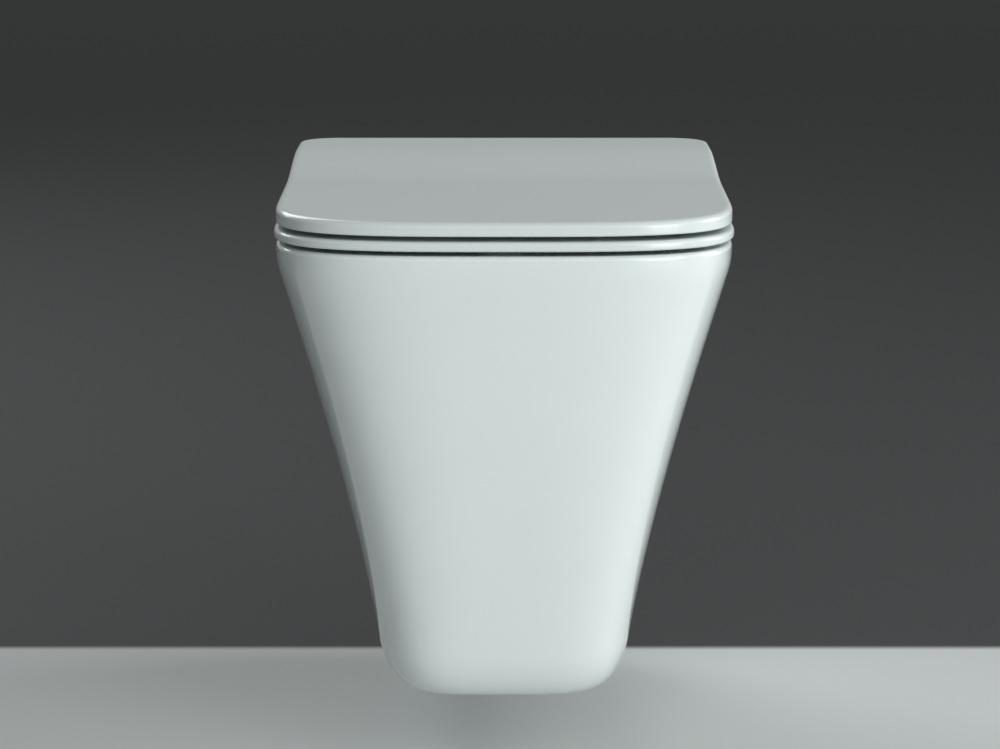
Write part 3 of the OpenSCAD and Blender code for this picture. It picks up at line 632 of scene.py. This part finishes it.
def hinge_bolt(side):
    at = on_deck(side, 0)
    shank = [(bolt_r, plug_low + 0.5, 0), (bolt_r, head_z, 0.2), (bolt_head_r, head_z, 0.2),
             (bolt_head_r, head_z + 5, 0.5), (0, head_z + 5, 0)]
    bolt = loft("bolt", thread(bolt_r, 0.35, 1, bolt_end, plug_low, at) + turned(shank, at, steps=48))
    return carve(bolt, [hexagon("key", socket_r, head_z + 2, head_z + 6, at)])


def hinge_nut(side):
    at = on_deck(side, nut_low)
    nut = hexagon("nut", plug_r - 0.2, 0, hinge_nut_h, at, chamfer=0.5)
    collar = rod("collar", plug_r, hinge_nut_h - 0.3, hinge_nut_h + 1.5, at, edge=0.2)
    carve(nut, [collar], "UNION")
    return carve(nut, [loft("tap", thread(bolt_r + 0.3, 0.28, 1, -1, hinge_nut_h + 3, at))])


bolts = pair("hinge_bolts", hinge_bolt)
fit(bolts, "bright_steel", "pan_body", "steel", "hinge_bolts")
nuts = pair("hinge_nuts", hinge_nut)
wire = new_finish("turned_brass")
turning = noise(wire, 0.6, 4, (0.2, 0.2, 1))
tarnish = noise(wire, 5, 3)
painted(wire, {
    "Base Color": mixed(wire, between(wire, tarnish, 0.4, 0.7), (0.72, 0.52, 0.22), (0.42, 0.27, 0.10)),
    "Metallic": 1.0, "Roughness": 0.24 + 0.22 * tarnish, "Normal": bumped(wire, turning, 0.02)})
fit(nuts, "turned_brass", "pan_body", "brass", "hinge_nuts")

grooves, groove_pitch, swollen_r, groove_r, plug_top = 3, 3, plug_r + 3.5, plug_r + 2.9, rim_z - 0.5
waist = [(swollen_r, plug_low + 6, 0.8)]
for i in range(grooves):
    at = plug_low + groove_pitch * i
    waist += [(swollen_r, at + 7.5, 0.3), (groove_r, at + 8, 0.2), (groove_r, at + 8.6, 0.2),
              (swollen_r, at + 9.1, 0.3)]
plugs = pair("hinge_plugs", lambda side: lathe(
    "plug", [(bolt_r + 0.05, plug_low, 0.2), (plug_r + 1, plug_low, 0.4), *waist,
             (swollen_r, plug_high - 5, 0.8), (plug_r + 2, plug_high, 0.4), (plug_r, plug_high, 0.2),
             (plug_r, plug_top, 0.3), (bolt_r + 0.05, plug_top, 0.2)], on_deck(side, 0)))
fit(plugs, "black_rubber", "pan_body", "black_rubber", "hinge_plugs")

# Chrome plated covers lie round the posts, and the dampers are pushed down on
# them: a barrel on the hinge axis and the boss that takes the post.
cover_t, cover_wall, boss_r, damper_l, spindle_r = 4.2, 2.8, post_r + 3.5, 36, 4
lug_w = 18
lug_in = hinge_x - damper_l / 2 - 1
lug_out = hinge_x + damper_l / 2 + 1


def damper(side):
    boss_z, r = base_z + base_t + 0.1, barrel_r + 0.5
    grooves = []
    end, groove_in = damper_l / 2, 5
    for at in (groove_in - end, end - groove_in):
        grooves += [(r, at - 0.77, 0.15), (r - 0.6, at - 0.3, 0.3), (r - 0.6, at + 0.3, 0.3),
                    (r, at + 0.77, 0.15)]
    barrel = lathe("barrel", [(0, -end, 0), (r, -end, 1), *grooves, (r, end, 1), (0, end, 0)],
                   on_deck(side, axis_z), (1, 0, 0), 96)
    boss = rod("boss", boss_r, boss_z, axis_z - 4, on_deck(side, 0), edge=0.6)
    carve(barrel, [boss], "UNION")
    return carve(barrel, [
        rod("spindle_way", spindle_r + 0.05, -damper_l, damper_l, on_deck(side, axis_z), (1, 0, 0)),
        rod("post_way", post_r + 0.02, boss_z - 2, post_top + 0.1, on_deck(side, 0))])


wire = new_finish("polished_chrome")
haze = noise(wire, 7, 3)
wave = noise(wire, 16)
painted(wire, {
    "Base Color": mixed(wire, haze, (0.70, 0.71, 0.72), (0.78, 0.785, 0.79)), "Metallic": 1.0,
    "Roughness": 0.05 + 0.08 * between(wire, haze, 0.45, 0.8), "Normal": bumped(wire, wave, 0.02)})
for side, name in ((-1, "left"), (1, "right")):
    inner_r, hole_r = cover_r - cover_wall, boss_r + 0.3
    cover = lathe("hinge_cover_" + name, [
        (hole_r, cover_t, 0.3), (hole_r, cover_t - 1, 0.2), (inner_r, cover_t - 1, 0.3), (inner_r, 0.1, 0.3),
        (cover_r, 0.1, 0.4), (cover_r, cover_t - 2, 0.6), (cover_r - 0.6, cover_t - 0.8, 0.8),
        (cover_r - 2, cover_t, 0.8)], on_deck(side, rim_z), steps=128)
    fit(cover, "polished_chrome", "pan_body", "chrome", "hinge_cover_" + name)
for side, name in ((-1, "lid_damper"), (1, "seat_damper")):
    fit(damper(side), "polished_chrome", "pan_body", "chrome", name)

# The seat is one solid duroplast moulding, a flat ring rounded inside and out,
# with two hinge lugs moulded in at its rear.
seat_w, seat_l, seat_gap, seat_t = pan_w + 2, pan_l + 3, 3.7, 7.5
seat_z = rim_z + seat_gap
seat_top = seat_z + seat_t
seat_rear, seat_corner, web_l, web_sink = hinge_y + 29, 30, 34, 1.5
hole_w, hole_front, hole_back = 214, 440, 172
hole_nose, hole_square, hole_corner = 118, 2.6, 80
bush_r = spindle_r + 2


def seat_half(d):
    return half_outline(seat_w / 2 - d, d - seat_l, -seat_rear - d, rim_nose - d, rim_square, seat_corner - d)


def hole_half(d):
    return half_outline(hole_w / 2 + d, -hole_front - d, d - hole_back, hole_nose, hole_square, hole_corner)


def lug(x, web):
    """A hinge lug: a barrel on the axis, the web that joins it to its panel, and the bore for its bush."""
    barrel = rod("barrel", barrel_r, 0, lug_w, (x, -hinge_y, axis_z), (1, 0, 0), 0.8)
    count = len(web)
    ends = [(x + at, y, z) for at in (0.2, lug_w - 0.2) for y, z in web]
    sides = [(i, (i + 1) % count, (i + 1) % count + count, i + count) for i in range(count)]
    plate = new_piece("web", ends, sides + [tuple(range(count)), tuple(range(count, 2 * count))])
    applied(plate, "BEVEL", {"width": 0.0008, "segments": 3, "angle_limit": math.radians(50)})
    carve(barrel, [plate], "UNION")
    return carve(barrel, [rod("lug_bore", bush_r + 0.02, -1, lug_w + 1, (x, -hinge_y, axis_z), (1, 0, 0))])


def arc(inset, drop, steps=6):
    """An edge rounded from face to side: pairs of how far in from the side and how far off the face."""
    return [(inset * (1 - math.sin(a)), drop * (1 - math.cos(a)))
            for a in np.linspace(0, math.pi / 2, steps + 1)]


def on_barrel(forward, up):
    """A point (y, z) of a web's outline, in shares of the barrel's radius from the axis."""
    return -hinge_y - barrel_r * forward, axis_z + barrel_r * up


seat_rings = [level(seat_half(3), seat_z)]
seat_rings += [level(seat_half(d), seat_z + h) for d, h in arc(2, 2)]
seat_rings += [level(seat_half(d), seat_top - h) for d, h in reversed(arc(3.4, 3))]
seat_rings += [level(seat_half(4.4), seat_top), level(hole_half(7), seat_top)]
seat_rings += [level(hole_half(d), seat_top - h) for d, h in arc(6, 4)]
seat_rings += [level(hole_half(d), seat_z + h) for d, h in reversed(arc(2, 2))]
seat_rings.append(level(hole_half(3), seat_z))
seat_web = [on_barrel(0.64, 0.76), (-seat_rear - web_l, seat_top - web_sink),
            (-seat_rear - web_l, seat_z + web_sink), (-seat_rear - 2, seat_z + web_sink),
            on_barrel(0.86, -0.5)]
seat = loft("seat", seat_rings, "hoop")
carve(seat, [merged("lugs", [lug(x, seat_web) for x in (lug_in - lug_w, -lug_in)])], "UNION")

wire = new_finish("white_duroplast")
flow = noise(wire, 90)
orange_peel = noise(wire, 2.5)
painted(wire, {
    "Base Color": mixed(wire, flow, (0.61, 0.68, 0.668), (0.63, 0.70, 0.688)),
    "Roughness": 0.14 + 0.06 * orange_peel, "IOR": 1.55,
    "Normal": bumped(wire, flow + 0.03 * orange_peel, 0.06)})
fit(seat, "white_duroplast", "seat_body", "duroplast", "seat_ring")

# Four soft grey plastic pads, moulded as long rounds and fixed to the seat's
# underside, keep it off the rim.
bumper_r, bumper_run, bumper_x = 8, 9, (pan_w + bowl_w) / 4 - 5
bumper_rear, bumper_front = bowl_back - 46, bowl_front - 55


def side_pads(side):
    """The two pads on one side: long round outlines with a rounded edge above and below."""
    pads = []
    for y in (bumper_rear, bumper_front):
        turn = np.linspace(0, math.pi, 25)
        rings = []
        for d, z in ([(1.2, 0)] + [(d, h) for d, h in arc(0.6, 0.6)]
                     + [(d, seat_gap - h) for d, h in reversed(arc(0.6, 0.6))] + [(1.2, seat_gap)]):
            r = bumper_r - d
            x = np.concatenate([r * np.cos(turn), -r * np.cos(turn)])
            dy = np.concatenate([r * np.sin(turn), -bumper_run - r * np.sin(turn)])
            rings.append(np.column_stack([side * bumper_x + x, dy - y, np.full(len(x), rim_z + z)]))
        pads.append(loft("pad", rings))
    return pads


wire = new_finish("grey_bumper")
skin = noise(wire, 0.6, 3)
cloud = noise(wire, 6)
painted(wire, {
    "Base Color": mixed(wire, cloud, (0.30, 0.305, 0.31), (0.38, 0.385, 0.39)),
    "Roughness": 0.5 + 0.15 * skin, "IOR": 1.45, "Subsurface Weight": 0.2, "Subsurface Scale": 0.002,
    "Normal": bumped(wire, skin, 0.02)})
seat_pads = merged("seat_bumpers", side_pads(-1) + side_pads(1))
fit(seat_pads, "grey_bumper", "seat_body", "bumper", "seat_bumpers")

# Dark bushes of glass filled plastic line the lugs. The lid turns its spindle on
# the left and the seat its own on the right, so each has one tight and one
# running bush.
tight_r, loose_r = spindle_r + 0.02, spindle_r + 0.05


def bush(x, r):
    return lathe("bush", [(r, 0, 0.2), (bush_r, 0, 0.4), (bush_r, lug_w, 0.4), (r, lug_w, 0.2)],
                 (x, -hinge_y, axis_z), (1, 0, 0))


bushes = merged("seat_bushes", [bush(-lug_in, loose_r), bush(lug_in - lug_w, tight_r)])
fit(bushes, "filled_plastic", "seat_body", "plastic", "seat_bushes")

# The lid is a thin duroplast shell with a turned down edge. It rises over the
# hinges at the rear, where two lugs are moulded under it.
lid_w, lid_l = seat_w - 3, seat_l - 1
lid_gap, lid_edge, lid_rise, lid_ramp = 3.8, 10.5, 5, 12.5
lid_t, lid_lip, lid_corner = 5, 8, 30
lid_z = seat_top + lid_gap
lid_back = hinge_y + 16
ramp_front, ramp_back = 290, 150


def lid_top(y):
    """Height of the lid's upper face: a slow rise from the front, and a ramp over the hinges."""
    slope = lid_rise / (lid_l - ramp_front)
    ramp = (lid_ramp - slope * (ramp_front - ramp_back)) * ease((y + ramp_front) / (ramp_front - ramp_back))
    return lid_z + lid_edge + slope * (min(y, -ramp_back) + lid_l) + ramp


def lid_half(d):
    k = 1 - 2 * d / lid_w
    return half_outline(lid_w / 2 - d, d - lid_l, -lid_back - d, rim_nose * k, rim_square, lid_corner * k)


def on_lid(d, drop):
    """The lid's outline, moved in by d, at drop below its upper face."""
    ring = level(lid_half(d), 0)
    ring[:, 2] = [lid_top(y) - drop for y in ring[:, 1]]
    return ring


insets = [150, 125, 100, 75, 50, 30, 18]
lid_rings = [on_lid(d, lid_t) for d in insets]
lid_rings += [on_lid(lid_lip + 4, lid_t), on_lid(lid_lip + 3, lid_t)]
lid_rings += [level(lid_half(lid_lip + 1), lid_z + 0.8), level(lid_half(lid_lip - 0.5), lid_z)]
lid_rings += [level(lid_half(d), lid_z + h) for d, h in arc(1.5, 1.6)]
lid_rings += [on_lid(d, h) for d, h in reversed(arc(5, 4, 10))]
lid_rings += [on_lid(d, 0) for d in [6.5, *reversed(insets)]]
lid_under = lid_top(-lid_back) - lid_t
lid_web_front, lid_web_sink = -lid_back - 20, 2
lid_web = [on_barrel(0, 1), (-lid_back - 3, lid_under + lid_web_sink),
           (lid_web_front, lid_under + lid_web_sink), (lid_web_front, axis_z + 1), on_barrel(0.5, -0.86)]
lid = loft("lid_shell", lid_rings, "strips")
notch_gap, notch_front, notch_l, notch_margin = 2, -lid_back - 14, 20, 1
for side in (-1, 1):
    ends = sorted((side * (lug_in - lug_w - notch_gap), side * (lug_out + lug_w + notch_gap)))
    carve(lid, [box("notch", ends, (notch_front, notch_front + notch_l),
                    (lid_z - notch_margin, lid_under - notch_margin))])
carve(lid, [merged("lugs", [lug(x, lid_web) for x in (lug_out, -lug_out - lug_w)])], "UNION")
fit(lid, "white_duroplast", "lid_body", "duroplast", "lid")

# Two round pads of the same soft plastic are fixed under the lid, each a short
# cone. The real ones rest on the seat, and here pad_gap keeps them just off it.
lid_pad_r, lid_pad_x, lid_pad_y, pad_gap = 7, bumper_x - 12, bowl_front - 70, 0.03
lid_pad_h = lid_top(-lid_pad_y - lid_pad_r - 1) - lid_t - 0.05 - seat_top
pads = pair("lid_bumpers", lambda side: lathe(
    "pad", [(0, 0, 0), (lid_pad_r - 1.5, 0, 0.7), (lid_pad_r, lid_pad_h, 0.3), (0, lid_pad_h, 0)],
    (side * lid_pad_x, -lid_pad_y, seat_top + pad_gap)))
fit(pads, "grey_bumper", "lid_body", "bumper", "lid_bumpers")

# The lid's bushes are as the seat's. Two bright steel spindles, turned and pushed
# in, join seat, dampers and lid on one line.
bushes = merged("lid_bushes", [bush(-lug_out - lug_w, tight_r), bush(lug_out, loose_r)])
fit(bushes, "filled_plastic", "lid_body", "plastic", "lid_bushes")
for side, name, body in ((-1, "lid_spindle", "lid_body"), (1, "seat_spindle", "seat_body")):
    start, end = sorted((side * (lug_in - lug_w + 2), side * (lug_out + lug_w - 2)))
    spindle = rod(name, spindle_r, start, end, (0, -hinge_y, axis_z), (1, 0, 0), 0.6)
    fit(spindle, "bright_steel", body, "steel", name)

# Studio, in metres: a plain floor, pale round the pan with painted shade that
# darkens it further off, and dark behind it, soft light mostly from the right
# front, and the camera. The front lamp stays out of reflections, where its image
# would burn out the lid.
floor_z, floor_w, floor_front, floor_back = -0.3489, 60, -20, 120
corners = ((-floor_w, floor_front), (floor_w, floor_front), (floor_w, floor_back), (-floor_w, floor_back))
floor = new_object("floor", bpy.data.meshes.new("floor"))
floor.data.from_pydata([(x, y, floor_z) for x, y in corners], [], [(0, 1, 2, 3)])
wire = new_finish("grey_floor")
place = wire.node("ShaderNodeTexCoord", output=3)
depth_y = wire.node("ShaderNodeSeparateXYZ", {}, {0: place}, 1)
distance = wire.node("ShaderNodeVectorMath", {"operation": "LENGTH"}, {0: place}, 1)
floor_colour = mixed(wire, noise(wire, 400), (0.50, 0.53, 0.525), (0.54, 0.57, 0.565))
# Painted shade: the floor's colour darkens between 0.8 m and 2.2 m from the pan, so it looks lit round the
# pan
floor_colour = mixed(wire, between(wire, distance, 0.8, 2.2), floor_colour, (0.20, 0.215, 0.21))
floor_colour = mixed(wire, between(wire, depth_y, -0.01, 0.01), floor_colour, (0.024, 0.026, 0.027))
painted(wire, {"Base Color": floor_colour, "Roughness": 0.8})
floor.data.materials.append(bpy.data.materials["grey_floor"])

# Each lamp: its name, place, width, height and power in watts
lamps = [("key", (1.9, -2.4, 1.4), 2.0, 2.0, 22), ("front", (0.8, -3.3, 1.2), 3.6, 2.4, 60),
         ("low", (1.7, -2.2, 0.1), 1.0, 0.5, 15), ("side", (2.6, 0.3, 0.8), 1.4, 1.8, 42),
         ("back", (-1.8, 2.6, 2.4), 2.2, 2.2, 56)]
aim = Vector((0, -0.25, -0.1))
for name, place, width, height, watts in lamps:
    light = bpy.data.lights.new(name, "AREA")
    light.shape = "RECTANGLE"
    light.size, light.size_y, light.energy = width, height, watts
    lamp = new_object(name, light)
    lamp.location = place
    lamp.rotation_euler = (aim - Vector(place)).to_track_quat("-Z", "Y").to_euler()
    lamp.visible_glossy = name != "front"

world = bpy.data.worlds.new("studio")
world.use_nodes = True
world.node_tree.nodes.clear()
wire = Wire(world.node_tree)
rays = [wire.node("ShaderNodeLightPath", output=name)
        for name in ("Is Camera Ray", "Is Glossy Ray", "Is Transmission Ray")]
seen = wire.sum("MAXIMUM", wire.sum("MAXIMUM", rays[0], rays[1]), rays[2])
glow, added_where_seen = 0.12, 0.24
sky = wire.node("ShaderNodeBackground", {}, {
    "Color": (0.97, 1, 1, 1), "Strength": glow + added_where_seen * seen})
world.node_tree.links.new(sky.socket, world.node_tree.nodes.new("ShaderNodeOutputWorld").inputs[0])
bpy.context.scene.world = world
bpy.context.scene.view_settings.view_transform = "Standard"

focal_length, tilt_down = 119.7, 10.003
lens = bpy.data.cameras.new("camera")
lens.lens = focal_length
camera = new_object("camera", lens)
camera.location = (-0.0031, -2.960, 0.4277)
camera.rotation_euler = (math.radians(90 - tilt_down), 0, 0)
bpy.context.scene.camera = camera
